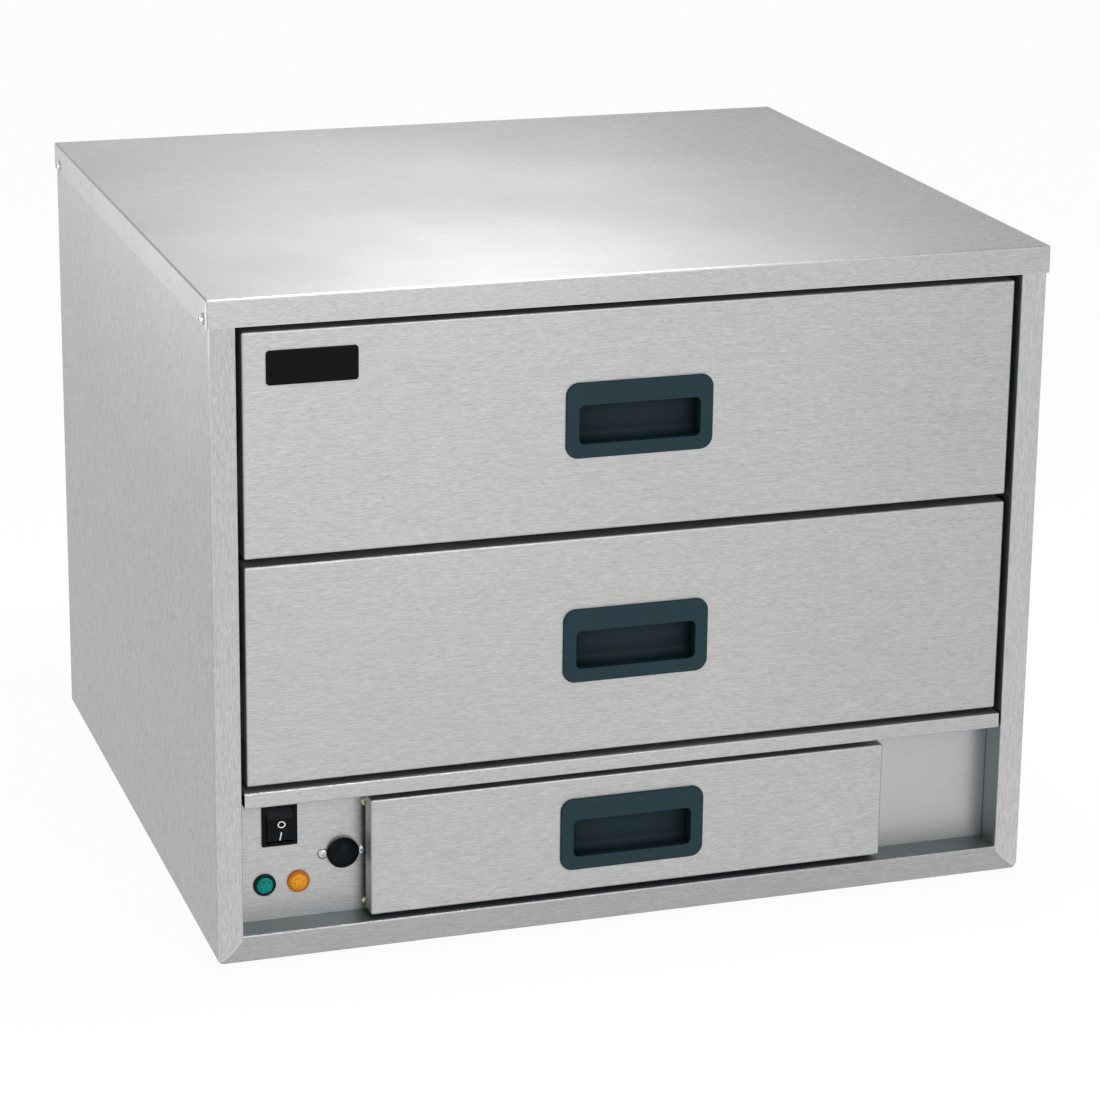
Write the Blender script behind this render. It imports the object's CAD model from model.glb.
"""The looks of a countertop warming drawer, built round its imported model."""

import math

import bmesh
import bpy
from mathutils import Matrix, Vector
from mathutils.bvhtree import BVHTree


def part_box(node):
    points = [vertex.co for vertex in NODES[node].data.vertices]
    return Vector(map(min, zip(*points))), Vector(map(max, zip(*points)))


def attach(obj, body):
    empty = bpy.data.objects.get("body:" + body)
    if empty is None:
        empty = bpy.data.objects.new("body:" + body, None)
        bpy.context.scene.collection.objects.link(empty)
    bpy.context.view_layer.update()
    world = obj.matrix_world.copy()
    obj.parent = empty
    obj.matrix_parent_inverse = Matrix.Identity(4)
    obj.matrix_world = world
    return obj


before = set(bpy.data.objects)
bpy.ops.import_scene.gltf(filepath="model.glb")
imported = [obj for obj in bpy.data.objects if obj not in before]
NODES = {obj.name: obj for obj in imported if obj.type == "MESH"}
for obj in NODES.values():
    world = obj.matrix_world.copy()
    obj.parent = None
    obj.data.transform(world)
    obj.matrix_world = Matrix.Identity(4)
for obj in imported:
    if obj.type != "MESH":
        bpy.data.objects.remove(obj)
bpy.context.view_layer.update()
MM = 0.001


# ---- camera ------------------------------------------------------------------------------------------
PHOTO_SIDE = 1100.0
FOCAL_PIXELS = 3527.0
SENSOR_MM = 36.0
CAMERA_SHIFT_Y = -0.1
CAMERA_YAW = 18.22
CAMERA_PITCH = 16.08
CAMERA_ROLL = 0.67
CASING_FRONT_Y = -0.27775
FOOT_HEIGHT = 0.008
CAMERA_PLACE = Vector((-0.782, -2.178 + CASING_FRONT_Y, 1.017 + FOOT_HEIGHT))
CLIP_START = 0.05
CLIP_END = 100.0


def make_camera():
    """The camera at the photograph's viewing angle, looking at the front from the object's left."""
    yaw, pitch, roll = (math.radians(a) for a in (CAMERA_YAW, CAMERA_PITCH, CAMERA_ROLL))
    forward = Vector((math.sin(yaw) * math.cos(pitch), math.cos(yaw) * math.cos(pitch), -math.sin(pitch)))
    level = Vector((math.cos(yaw), -math.sin(yaw), 0.0))
    upward = level.cross(forward)
    right = math.cos(roll) * level + math.sin(roll) * upward
    up = right.cross(forward)
    data = bpy.data.cameras.new("camera")
    data.sensor_width = SENSOR_MM
    data.lens = FOCAL_PIXELS / PHOTO_SIDE * SENSOR_MM
    data.shift_y = CAMERA_SHIFT_Y
    data.clip_start = CLIP_START
    data.clip_end = CLIP_END
    camera = bpy.data.objects.new("camera", data)
    turn = Matrix((right, up, -forward)).transposed()
    camera.matrix_world = Matrix.Translation(CAMERA_PLACE) @ turn.to_4x4()
    bpy.context.scene.collection.objects.link(camera)
    bpy.context.scene.camera = camera


# ---- light and floor ---------------------------------------------------------------------------------
WORLD_LIGHT = 0.6
FLOOR_RADIUS = 40.0
FLOOR_SEGMENTS = 64
FLOOR_COLOUR = (0.86, 0.86, 0.86, 1.0)
FLOOR_OWN_WHITE = 0.95
AIM = Vector((0.0, 0.0, 0.24))
LAMPS = (
    # name, place, width, height, watts
    ("side_softbox", Vector((-0.85, -0.05, 0.39)), 1.2, 0.14, 1.6),
    ("front_softbox", Vector((0.45, -3.2, 1.4)), 1.4, 0.9, 19.5),
    ("top_softbox", Vector((0.13, -0.14, 1.34)), 0.5, 0.3, 17.0),
)


def seen_directly(nodes, links):
    """1 for a ray straight from the camera, a mirror or a clear piece, and 0 for light on a surface."""
    path = nodes.new("ShaderNodeLightPath")
    total = path.outputs["Is Camera Ray"]
    for ray in ("Is Glossy Ray", "Is Transmission Ray"):
        larger = nodes.new("ShaderNodeMath")
        larger.operation = "MAXIMUM"
        links.new(total, larger.inputs[0])
        links.new(path.outputs[ray], larger.inputs[1])
        total = larger.outputs[0]
    return total


def light_the_scene():
    """Three soft lamps, and a world that looks white and lights surfaces by WORLD_LIGHT."""
    world = bpy.data.worlds.new("studio")
    world.use_nodes = True
    bpy.context.scene.world = world
    nodes, links = world.node_tree.nodes, world.node_tree.links
    strength = nodes.new("ShaderNodeMix")
    strength.inputs["A"].default_value = WORLD_LIGHT
    strength.inputs["B"].default_value = 1.0
    links.new(seen_directly(nodes, links), strength.inputs["Factor"])
    background = nodes["Background"]
    background.inputs["Color"].default_value = (1.0, 1.0, 1.0, 1.0)
    links.new(strength.outputs["Result"], background.inputs["Strength"])
    for name, place, width, height, watts in LAMPS:
        data = bpy.data.lights.new(name, "AREA")
        data.shape = "RECTANGLE"
        data.size = width
        data.size_y = height
        data.energy = watts
        lamp = bpy.data.objects.new(name, data)
        lamp.location = place
        lamp.visible_camera = False
        lamp.rotation_euler = (AIM - place).to_track_quat("-Z", "Y").to_euler()
        bpy.context.scene.collection.objects.link(lamp)


def make_floor():
    """A pale floor that mostly shows its own white, and keeps a faint shadow of the object."""
    mesh = bpy.data.meshes.new("floor")
    sheet = bmesh.new()
    bmesh.ops.create_circle(sheet, cap_ends=True, segments=FLOOR_SEGMENTS, radius=FLOOR_RADIUS)
    sheet.to_mesh(mesh)
    sheet.free()
    floor = bpy.data.objects.new("floor", mesh)
    bpy.context.scene.collection.objects.link(floor)
    material = bpy.data.materials.new("pale_floor")
    material.use_nodes = True
    nodes, links = material.node_tree.nodes, material.node_tree.links
    paint = nodes["Principled BSDF"]
    paint.inputs["Base Color"].default_value = FLOOR_COLOUR
    paint.inputs["Roughness"].default_value = 1.0
    paint.inputs["Specular IOR Level"].default_value = 0.0
    white = nodes.new("ShaderNodeEmission")
    share = nodes.new("ShaderNodeMath")
    share.operation = "MULTIPLY"
    share.inputs[1].default_value = FLOOR_OWN_WHITE
    links.new(seen_directly(nodes, links), share.inputs[0])
    mixed = nodes.new("ShaderNodeMixShader")
    links.new(share.outputs[0], mixed.inputs[0])
    links.new(paint.outputs[0], mixed.inputs[1])
    links.new(white.outputs[0], mixed.inputs[2])
    links.new(mixed.outputs[0], nodes["Material Output"].inputs["Surface"])
    mesh.materials.append(material)


# ---- finishes ----------------------------------------------------------------------------------------
NOISE_RANGE = (0.3, 0.7)
SOFT_RANGE = (0.35, 0.65)
DUST_RANGE = (0.4, 0.7)
FACES_ALONG = 0.7
EDGE_SAMPLES = 4
EDGE_STARTS = 0.995
EDGE_FULL = 0.8
SKY_SAMPLES = 6
SKY_OPEN = 0.65
SKY_SHUT = 0.1
# sockets of a Mix node for each kind of value: share, a, b and result
MIX_SOCKETS = {"FLOAT": (0, 2, 3, 0), "VECTOR": (0, 4, 5, 1), "RGBA": (0, 6, 7, 2)}


class Finish:
    """A Principled material, with short ways to add the nodes that feed it."""

    def __init__(self, name, **constants):
        self.material = bpy.data.materials.new(name)
        self.material.use_nodes = True
        self.tree = self.material.node_tree
        self.shader = self.tree.nodes["Principled BSDF"]
        for socket, value in constants.items():
            self.shader.inputs[socket.replace("_", " ")].default_value = value
        self.at = self.node("TexCoord").outputs["Object"]

    def node(self, kind, sockets=(), **settings):
        """A new node with those settings, and each of its sockets linked or set."""
        made = self.tree.nodes.new("ShaderNode" + kind)
        for setting, value in settings.items():
            setattr(made, setting, value)
        for socket, value in dict(sockets).items():
            if isinstance(value, bpy.types.NodeSocket):
                self.tree.links.new(value, made.inputs[socket])
            else:
                made.inputs[socket].default_value = value
        return made

    def feed(self, socket, value):
        self.tree.links.new(value, self.shader.inputs[socket])

    def sums(self, operation, a, b, clamp=False):
        return self.node("Math", {0: a, 1: b}, operation=operation, use_clamp=clamp).outputs[0]

    def noise(self, size, detail=2.0, seed=0.0):
        """Noise with features about that long, in metres: one size, or one each along X, Y and Z."""
        scale = [1.0 / length for length in (size if isinstance(size, tuple) else (size,) * 3)]
        at = self.node("Mapping", {"Vector": self.at, "Scale": scale, "Location": (seed, seed, seed)})
        sockets = {"Vector": at.outputs[0], "Scale": 1.0, "Detail": detail}
        return self.node("TexNoise", sockets).outputs["Fac"]

    def cells(self, size, **settings):
        """Distance to the middle of cells of that size, in metres."""
        sockets = {"Vector": self.at, "Scale": 1.0 / size}
        return self.node("TexVoronoi", sockets, **settings).outputs["Distance"]

    def spread(self, value, low, high, to_low=0.0, to_high=1.0):
        """value between low and high, taken to between to_low and to_high."""
        sockets = {"Value": value, "From Min": low, "From Max": high, "To Min": to_low, "To Max": to_high}
        return self.node("MapRange", sockets).outputs["Result"]

    def mix(self, kind, share, a, b, **settings):
        """a turning to b as share goes from 0 to 1, both of the kind FLOAT, VECTOR or RGBA."""
        share_at, a_at, b_at, result_at = MIX_SOCKETS[kind]
        sockets = {share_at: share, a_at: a, b_at: b}
        return self.node("Mix", sockets, data_type=kind, **settings).outputs[result_at]

    def blend(self, share, a, b):
        return self.mix("FLOAT", share, a, b)

    def tint(self, share, a, b, how="MIX"):
        """Colour a turning to colour b as share goes from 0 to 1."""
        a, b = (value if isinstance(value, bpy.types.NodeSocket) else (*value, 1.0) for value in (a, b))
        return self.mix("RGBA", share, a, b, blend_type=how)

    def worn(self, reach):
        """0 on flat stretches and up to 1 on outer edges and folds, within that reach in metres."""
        rounded = self.node("Bevel", {"Radius": reach}, samples=EDGE_SAMPLES).outputs["Normal"]
        straight = self.node("NewGeometry").outputs["Normal"]
        alike = self.node("VectorMath", {0: rounded, 1: straight}, operation="DOT_PRODUCT").outputs["Value"]
        return self.spread(alike, EDGE_STARTS, EDGE_FULL)

    def grime(self, reach, shallow=SKY_OPEN):
        """Up to 1 in corners and recesses no wider than reach, in metres.

        It is 0 where the share of sky that shows is over shallow.
        """
        open_sky = self.node("AmbientOcclusion", {"Distance": reach}, samples=SKY_SAMPLES).outputs["AO"]
        return self.spread(open_sky, shallow, SKY_SHUT)

    def relief(self, height, depth):
        """Surface relief of that depth, in metres."""
        bump = self.node("Bump", {"Height": height, "Distance": depth, "Strength": 1.0})
        self.feed("Normal", bump.outputs["Normal"])


def shade(colour, factor):
    return tuple(channel * factor for channel in colour)


STEEL = (0.450, 0.449, 0.445)
MILL_STEEL = (0.19, 0.225, 0.23)
JAMB_STEEL = (0.27, 0.32, 0.325)
GRAIN_SIZE = (4.5 * MM, 0.9 * MM, 0.32 * MM)
GRAIN_RANGE = (0.32, 0.68)
GRAIN_DEPTH = 0.02 * MM
BAND_SIZE = (14 * MM, 3 * MM, 0.8 * MM)
CLOUD_SIZE = 160 * MM
CLOUD_COOL = (0.96, 0.965, 0.98)
CLOUD_WARM = (1.0, 0.996, 0.985)
GRAIN_SPREAD = 0.7
CROSSWISE_TURN = 0.25
EDGE_TONE = 1.18
STRIP_TONES = (0.80, 0.80, 0.816)
LID_TONE = 0.65
SIDE_TONE = 0.91
CASE_SHEET = 1.2 * MM
RETURN_WIDTH = 18.5 * MM
RETURN_HEIGHT = 19.0 * MM
MITRE_BEND = 5.0
MITRE_RISE = 0.8
GRAIN_CONTRAST = 0.20
BAND_SHARE = 0.22
STEEL_ROUGHNESS = 0.40
SMEARED_LESS = 0.015
SMEARED_MORE = 0.02
STREAKED = 0.05
EDGE_SMOOTHER = 0.12
EDGE_BRIGHTER = 1.25
EDGE_REACH = 1.1 * MM
SOIL_REACH = 8 * MM
SOIL_TONE = 0.5
GRAIN_ALONG_X = (1.0, 0.02, 0.03)
GRAIN_ALONG_Z = (0.02, 0.03, 1.0)


def mitre_height(share):
    """Height of a corner weld, as a share of the strip's, at a share of the way in from the outer corner."""
    return MITRE_RISE * share + (1.0 - MITRE_RISE) * share ** MITRE_BEND


def grey(tone):
    return (tone, tone, tone)


def ground_steel(name, colour=STEEL, contrast=GRAIN_CONTRAST, casing=False, flat_tone=1.0, soiling=0.5):
    """Ground sheet steel: grain across on fronts and tops, and upright on end faces.

    On the casing it is upright on the front edges too, and the inner faces are left as rolled. flat_tone
    dulls the faces that look up, as wiping does, and soiling is the share of dirt in the recesses.
    """
    finish = Finish(name, Metallic=1.0, Anisotropic=GRAIN_SPREAD, Anisotropic_Rotation=CROSSWISE_TURN)
    facing = finish.node("SeparateXYZ", {0: finish.node("NewGeometry").outputs["True Normal"]}).outputs
    end_face = finish.sums("GREATER_THAN", finish.sums("ABSOLUTE", facing["X"], 0.0), FACES_ALONG)
    upright = end_face
    if casing:
        front_edge, strip, inner = casing_areas(finish)
        upright = finish.sums("MAXIMUM", end_face, front_edge)
    across, up = (finish.noise(size, detail=3.0) for size in (GRAIN_SIZE, GRAIN_SIZE[::-1]))
    grain = finish.blend(upright, across, up)
    bands = finish.blend(upright, finish.noise(BAND_SIZE), finish.noise(BAND_SIZE[::-1]))
    tone = finish.blend(BAND_SHARE, grain, bands)
    streaks = finish.tint(finish.spread(tone, *GRAIN_RANGE),
                          shade(colour, 1.0 - contrast), shade(colour, 1.0 + contrast))
    if casing:
        streaks = casing_tones(finish, streaks, end_face, front_edge, strip, inner)
    looks_up = finish.sums("GREATER_THAN", facing["Z"], FACES_ALONG)
    wiped = finish.tint(looks_up, streaks, grey(flat_tone), how="MULTIPLY")
    cloud = finish.noise(CLOUD_SIZE, detail=3.0, seed=4.0)
    clouds = finish.tint(finish.spread(cloud, *NOISE_RANGE), CLOUD_COOL, CLOUD_WARM)
    clouded = finish.tint(1.0, wiped, clouds, how="MULTIPLY")
    edge = finish.worn(EDGE_REACH)
    polished = finish.tint(edge, clouded, shade(colour, EDGE_BRIGHTER))
    soil = finish.sums("MULTIPLY", finish.grime(SOIL_REACH), soiling)
    finish.feed("Base Color", finish.tint(soil, polished, shade(MILL_STEEL, SOIL_TONE)))
    smeared = finish.spread(cloud, *NOISE_RANGE,
                            STEEL_ROUGHNESS - SMEARED_LESS, STEEL_ROUGHNESS + SMEARED_MORE)
    streaked = finish.sums("ADD", smeared, finish.spread(tone, *NOISE_RANGE, STREAKED, -STREAKED))
    finish.feed("Roughness", finish.blend(edge, streaked, STEEL_ROUGHNESS - EDGE_SMOOTHER))
    finish.feed("Tangent", finish.mix("VECTOR", upright, GRAIN_ALONG_X, GRAIN_ALONG_Z))
    finish.relief(grain, GRAIN_DEPTH)
    return finish.material


def casing_areas(finish):
    """Masks of the casing's upright front edges, its base strip below the mitres, and its inner faces."""
    low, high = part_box("outer_casing")
    place = finish.node("SeparateXYZ", {0: finish.at}).outputs
    outward = finish.sums("ABSOLUTE", place["X"], 0.0)
    share = finish.sums("DIVIDE", finish.sums("SUBTRACT", high.x, outward), RETURN_WIDTH, clamp=True)
    straight = finish.sums("MULTIPLY", share, MITRE_RISE)
    bent = finish.sums("MULTIPLY", finish.sums("POWER", share, MITRE_BEND), 1.0 - MITRE_RISE)
    seam = finish.sums("MULTIPLY", finish.sums("ADD", straight, bent), RETURN_HEIGHT)
    above_seam = finish.sums("GREATER_THAN", finish.sums("SUBTRACT", place["Z"], low.z), seam)
    skin = 0.7 * CASE_SHEET
    behind = finish.sums("GREATER_THAN", place["Y"], low.y + skin)
    within = finish.sums("MULTIPLY", finish.sums("LESS_THAN", outward, high.x - skin),
                         finish.sums("GREATER_THAN", place["Z"], low.z + skin))
    in_front = finish.sums("SUBTRACT", 1.0, behind)
    front_edge = finish.sums("MULTIPLY", in_front, above_seam)
    strip = finish.sums("SUBTRACT", in_front, front_edge)
    return front_edge, strip, finish.sums("MULTIPLY", behind, within)


def casing_tones(finish, streaks, end_face, front_edge, strip, inner):
    """The grain's colours with the tone of each of the casing's areas."""
    upright_edge = finish.sums("SUBTRACT", front_edge, end_face, clamp=True)
    edges = finish.tint(upright_edge, streaks, grey(EDGE_TONE), how="MULTIPLY")
    strips = finish.tint(strip, edges, STRIP_TONES, how="MULTIPLY")
    sides = finish.tint(end_face, strips, grey(SIDE_TONE), how="MULTIPLY")
    return finish.tint(inner, sides, finish.tint(end_face, MILL_STEEL, JAMB_STEEL))


def plain_steel(name, colour, roughness):
    """Cold-rolled sheet: a dull, cloudy surface with fine roll marks, not ground."""
    finish = Finish(name, Metallic=1.0)
    cloud = finish.noise(50 * MM, detail=4.0)
    marks = finish.noise((30 * MM, 0.6 * MM, 0.6 * MM), detail=3.0, seed=3.0)
    tone = finish.blend(0.4, cloud, marks)
    share = finish.spread(tone, *NOISE_RANGE)
    edge = finish.worn(0.8 * MM)
    base = finish.tint(share, shade(colour, 0.88), shade(colour, 1.08))
    rubbed = finish.tint(edge, base, shade(colour, 1.3))
    finish.feed("Base Color", finish.tint(finish.grime(SOIL_REACH), rubbed, shade(colour, 0.4)))
    finish.feed("Roughness", finish.spread(tone, *NOISE_RANGE, roughness + 0.06, roughness - 0.06))
    finish.relief(marks, 0.01 * MM)
    return finish.material


def plated(name, colour, other, roughness):
    """Plated steel: two close hues in soft patches, fine pits and brighter edges."""
    finish = Finish(name, Metallic=1.0)
    patch = finish.noise(7 * MM, detail=3.0)
    pits = finish.noise(0.5 * MM, detail=3.0, seed=5.0)
    share = finish.spread(patch, *SOFT_RANGE)
    edge = finish.worn(0.4 * MM)
    plating = finish.tint(edge, finish.tint(share, colour, other), shade(colour, 1.3))
    finish.feed("Base Color", finish.tint(finish.grime(1.6 * MM), plating, shade(colour, 0.12)))
    finish.feed("Roughness", finish.spread(pits, *NOISE_RANGE, roughness - 0.07, roughness + 0.1))
    finish.relief(pits, 0.02 * MM)
    return finish.material


def moulded(name, colour, roughness, texture=0.35 * MM, depth=0.02 * MM, dust=0.12, specular=0.18,
            pocket=9 * MM, shallow=SKY_OPEN):
    """Moulded plastic or rubber: fine spark texture, faint dust in soft patches and paler edges.

    Recesses up to about as wide as pocket are darker, the more so the higher shallow is.
    """
    finish = Finish(name, Specular_IOR_Level=specular)
    spark = finish.noise(texture)
    patch = finish.noise(22 * MM, detail=4.0, seed=6.0)
    dusty = finish.spread(patch, *DUST_RANGE, to_high=dust)
    base = finish.tint(finish.spread(spark, *NOISE_RANGE), shade(colour, 0.82), shade(colour, 1.2))
    dulled = finish.tint(dusty, base, tuple(0.9 * channel + 0.02 for channel in colour))
    edge = finish.worn(0.6 * MM)
    lit = finish.tint(finish.sums("MULTIPLY", edge, 0.6), dulled, shade(colour, 1.9))
    finish.feed("Base Color", finish.tint(finish.grime(pocket, shallow), lit, shade(colour, 0.03)))
    grained = finish.spread(spark, *NOISE_RANGE, roughness - 0.04, roughness + 0.04)
    finish.feed("Roughness", finish.sums("ADD", grained, finish.sums("MULTIPLY", dusty, 0.3)))
    finish.relief(spark, depth)
    return finish.material


def lamp_plastic(name, colour, glow, roughness, dimple=1.3 * MM):
    """Tinted clear plastic over a lamp: cells that light up in their middles."""
    finish = Finish(name, Roughness=roughness, Specular_IOR_Level=0.12)
    cell = finish.cells(dimple)
    cloud = finish.noise(3 * MM)
    middle = finish.spread(cell, 0.15, 0.6, 1.0, 0.0)
    share = finish.sums("MULTIPLY", middle, finish.spread(cloud, *NOISE_RANGE, to_low=0.5))
    finish.feed("Base Color", finish.tint(share, colour, glow))
    finish.relief(middle, 0.15 * MM)
    return finish.material


def mineral_wool():
    finish = Finish("mineral_wool", Roughness=1.0, Sheen_Weight=0.3)
    fibre = finish.noise((9 * MM, 0.5 * MM, 1.5 * MM), detail=6.0)
    tuft = finish.noise(12 * MM, detail=5.0, seed=3.0)
    share = finish.spread(finish.blend(0.5, fibre, tuft), *SOFT_RANGE)
    finish.feed("Base Color", finish.tint(share, (0.48, 0.42, 0.26), (0.80, 0.75, 0.58)))
    finish.relief(fibre, 0.8 * MM)
    return finish.material


def hot_sheath():
    """Heater sheath: oxidised grey with straw and blue bands of heat tint."""
    finish = Finish("hot_sheath", Metallic=1.0)
    heat = finish.noise(60 * MM)
    scale = finish.noise(0.8 * MM, detail=4.0, seed=2.0)
    straw = finish.tint(finish.spread(heat, 0.4, 0.55), (0.22, 0.21, 0.20), (0.33, 0.25, 0.16))
    blue = finish.tint(finish.spread(heat, 0.55, 0.7), straw, (0.16, 0.17, 0.24))
    scaled = finish.tint(finish.spread(scale, 0.4, 0.8, to_high=0.6), blue, (0.10, 0.09, 0.09))
    finish.feed("Base Color", scaled)
    finish.feed("Roughness", finish.spread(scale, *NOISE_RANGE, 0.4, 0.65))
    finish.relief(scale, 0.03 * MM)
    return finish.material


def woven_sleeve():
    finish = Finish("woven_sleeve", Roughness=0.8)
    weave = finish.cells(0.9 * MM, distance="MANHATTAN")
    soil = finish.noise(20 * MM, detail=3.0)
    thread = finish.tint(finish.spread(weave, 0.1, 0.6), (0.62, 0.60, 0.54), (0.30, 0.28, 0.24))
    soiled = finish.tint(finish.spread(soil, *DUST_RANGE, to_high=0.4), thread, (0.30, 0.24, 0.16))
    finish.feed("Base Color", soiled)
    finish.relief(weave, 0.2 * MM)
    return finish.material


def dress_nodes():
    """A finish for every piece of the model, by its material slot, and by name where a piece has its own."""
    by_slot = {
        "brushed_steel": ground_steel("ground_steel"),
        "inner_steel": plain_steel("inner_steel_2b", (0.46, 0.465, 0.465), 0.38),
        "pan_steel": plain_steel("pan_steel_satin", (0.55, 0.55, 0.545), 0.30),
        "zinc_runner": plated("runner_zinc", (0.50, 0.52, 0.54), (0.56, 0.56, 0.52), 0.34),
        "zinc_screw": plated("screw_zinc", (0.62, 0.63, 0.64), (0.55, 0.57, 0.60), 0.26),
        "yellow_zinc_screw": plated("screw_yellow_zinc", (0.40, 0.36, 0.20), (0.42, 0.42, 0.30), 0.32),
        "handle_plastic": moulded("handle_abs", (0.019, 0.042, 0.053), 0.45, specular=0.08, pocket=34 * MM,
                                  shallow=1.0),
        "black_plastic": moulded("black_nylon", (0.012, 0.021, 0.023), 0.38, specular=0.14),
        "switch_plastic": moulded("switch_black", (0.006, 0.008, 0.010), 0.3, depth=0.006 * MM, dust=0.05,
                                  specular=0.05),
        "badge_black": moulded("badge_enamel", (0.004, 0.004, 0.005), 0.2, depth=0.004 * MM, dust=0.05,
                               specular=0.08),
        "foot_rubber": moulded("foot_rubber", (0.020, 0.020, 0.020), 0.72, texture=0.8 * MM, depth=0.08 * MM,
                               dust=0.6),
        "green_bezel": moulded("green_bezel", (0.001, 0.020, 0.017), 0.2, depth=0.004 * MM, dust=0.05,
                               specular=0.1),
        "green_lens": lamp_plastic("green_lens", (0.001, 0.18, 0.155), (0.012, 0.54, 0.47), 0.2),
        "amber_bezel": moulded("amber_bezel", (0.52, 0.15, 0.012), 0.2, depth=0.004 * MM, dust=0.05,
                               specular=0.1),
        "amber_lens": lamp_plastic("amber_lens", (0.80, 0.27, 0.008), (1.0, 0.62, 0.10), 0.2),
        "wool": mineral_wool(),
        "element_sheath": hot_sheath(),
        "copper_capillary": plated("copper_tube", (0.62, 0.36, 0.22), (0.45, 0.27, 0.18), 0.34),
        "ceramic_block": moulded("glazed_ceramic", (0.78, 0.76, 0.70), 0.25, depth=0.02 * MM, dust=0.2),
        "wire_sleeve": woven_sleeve(),
    }
    by_name = {
        "outer_casing": ground_steel("casing_steel", casing=True),
        "top_lid": ground_steel("lid_steel", flat_tone=LID_TONE),
        "blank_panel": ground_steel("panel_steel", colour=(0.46, 0.46, 0.475), contrast=0.06, soiling=0.2),
        "control_panel": ground_steel("control_steel", soiling=0.15),
    }
    for name, node in NODES.items():
        for place in node.material_slots:
            place.material = by_name.get(name) or by_slot[place.material.name]


# ---- added pieces ------------------------------------------------------------------------------------
LEGEND_STROKE = 0.75 * MM
LEGEND_RISE = 0.06 * MM
OFF_MARK = Vector((-249.5, 98.1)) * MM
OFF_RADII = (2.4 * MM, 2.0 * MM)
ON_MARK = Vector((-250.1, 89.5)) * MM
ON_HEIGHT = 6.2 * MM
ON_LEAN = 0.9 * MM
WELD_WIDTH = 1.5 * MM
WELD_RISE = 0.18 * MM
WELD_START = 6
STRIP_ROOT = 0.15 * MM
# across half the width, out from the face as a share of the rise
STRIP_CROWN = ((1.0, -0.3), (0.5, -0.85), (0.0, -1.0), (-0.5, -0.85), (-1.0, -0.3))
CURVE_STEPS = 32
BAR_STEPS = 8
RAY_START = 0.1


class Front:
    """The front surface of a piece, looked up from the front."""

    def __init__(self, node):
        mesh = NODES[node].data
        self.tree = BVHTree.FromPolygons([v.co for v in mesh.vertices], [p.vertices for p in mesh.polygons])
        self.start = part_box(node)[0].y - RAY_START

    def depth(self, x, z):
        hit = self.tree.ray_cast(Vector((x, self.start, z)), Vector((0.0, 1.0, 0.0)))[0]
        if hit is None:
            raise ValueError(f"nothing lies behind x {x:.4f}, z {z:.4f}")
        return hit.y


def lay_strip(name, node, body, finish, path, width, rise, closed=False):
    """A low crowned strip on the front of a piece, along (x, z) points, with its root inside the piece."""
    front = Front(node)
    count = len(path)
    rings = []
    strip = bmesh.new()
    for index, point in enumerate(path):
        before = path[index - 1] if index or closed else point
        after = path[(index + 1) % count] if index + 1 < count or closed else point
        onward = (after - before).normalized()
        sideways = Vector((-onward.y, onward.x)) * width / 2.0
        middle = front.depth(point.x, point.y)
        crown = [(offset, share * rise) for offset, share in STRIP_CROWN]
        profile = [(1.0, STRIP_ROOT), *crown, (-1.0, STRIP_ROOT)]
        ring = []
        for offset, out in profile:
            at = point + sideways * offset
            ring.append(strip.verts.new((at.x, middle + out, at.y)))
        rings.append(ring)
    pairs = list(zip(rings, rings[1:] + rings[:1])) if closed else list(zip(rings, rings[1:]))
    for here, there in pairs:
        for i in range(len(here)):
            j = (i + 1) % len(here)
            strip.faces.new((here[i], here[j], there[j], there[i]))
    if not closed:
        strip.faces.new(rings[0][::-1])
        strip.faces.new(rings[-1])
    bmesh.ops.recalc_face_normals(strip, faces=strip.faces)
    mesh = bpy.data.meshes.new(name)
    strip.to_mesh(mesh)
    strip.free()
    mesh.materials.append(finish)
    piece = bpy.data.objects.new(name, mesh)
    bpy.context.scene.collection.objects.link(piece)
    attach(piece, body)


def mark_the_switch():
    """The printed ring for off and bar for on, on the rocker's lower half."""
    ink = moulded("switch_ink", (0.80, 0.82, 0.82), 0.4, depth=0.004 * MM, dust=0.05)
    ring = []
    for step in range(CURVE_STEPS):
        turn = 2.0 * math.pi * step / CURVE_STEPS
        ring.append(OFF_MARK + Vector((OFF_RADII[0] * math.cos(turn), OFF_RADII[1] * math.sin(turn))))
    lay_strip("off_ring", "power_rocker", "rocker", ink, ring, LEGEND_STROKE, LEGEND_RISE,
              closed=True)
    stroke = Vector((ON_LEAN, ON_HEIGHT))
    bar = [ON_MARK + stroke * (step / BAR_STEPS - 0.5) for step in range(BAR_STEPS + 1)]
    lay_strip("on_bar", "power_rocker", "rocker", ink, bar, LEGEND_STROKE, LEGEND_RISE)


def weld_the_corners():
    """A dressed weld bead along each mitre between the casing's front edges and its base strip."""
    bead = plain_steel("weld_bead", (0.53, 0.53, 0.525), 0.36)
    low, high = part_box("outer_casing")
    for side, name in ((-1.0, "left_corner_weld"), (1.0, "right_corner_weld")):
        path = []
        for step in range(WELD_START, CURVE_STEPS - 1):
            share = step / CURVE_STEPS
            height = low.z + mitre_height(share) * RETURN_HEIGHT
            path.append(Vector((side * (high.x - share * RETURN_WIDTH), height)))
        lay_strip(name, "outer_casing", "cabinet", bead, path, WELD_WIDTH, WELD_RISE)


def main():
    make_camera()
    light_the_scene()
    make_floor()
    dress_nodes()
    mark_the_switch()
    weld_the_corners()
    bpy.context.scene.view_settings.view_transform = "Standard"


main()
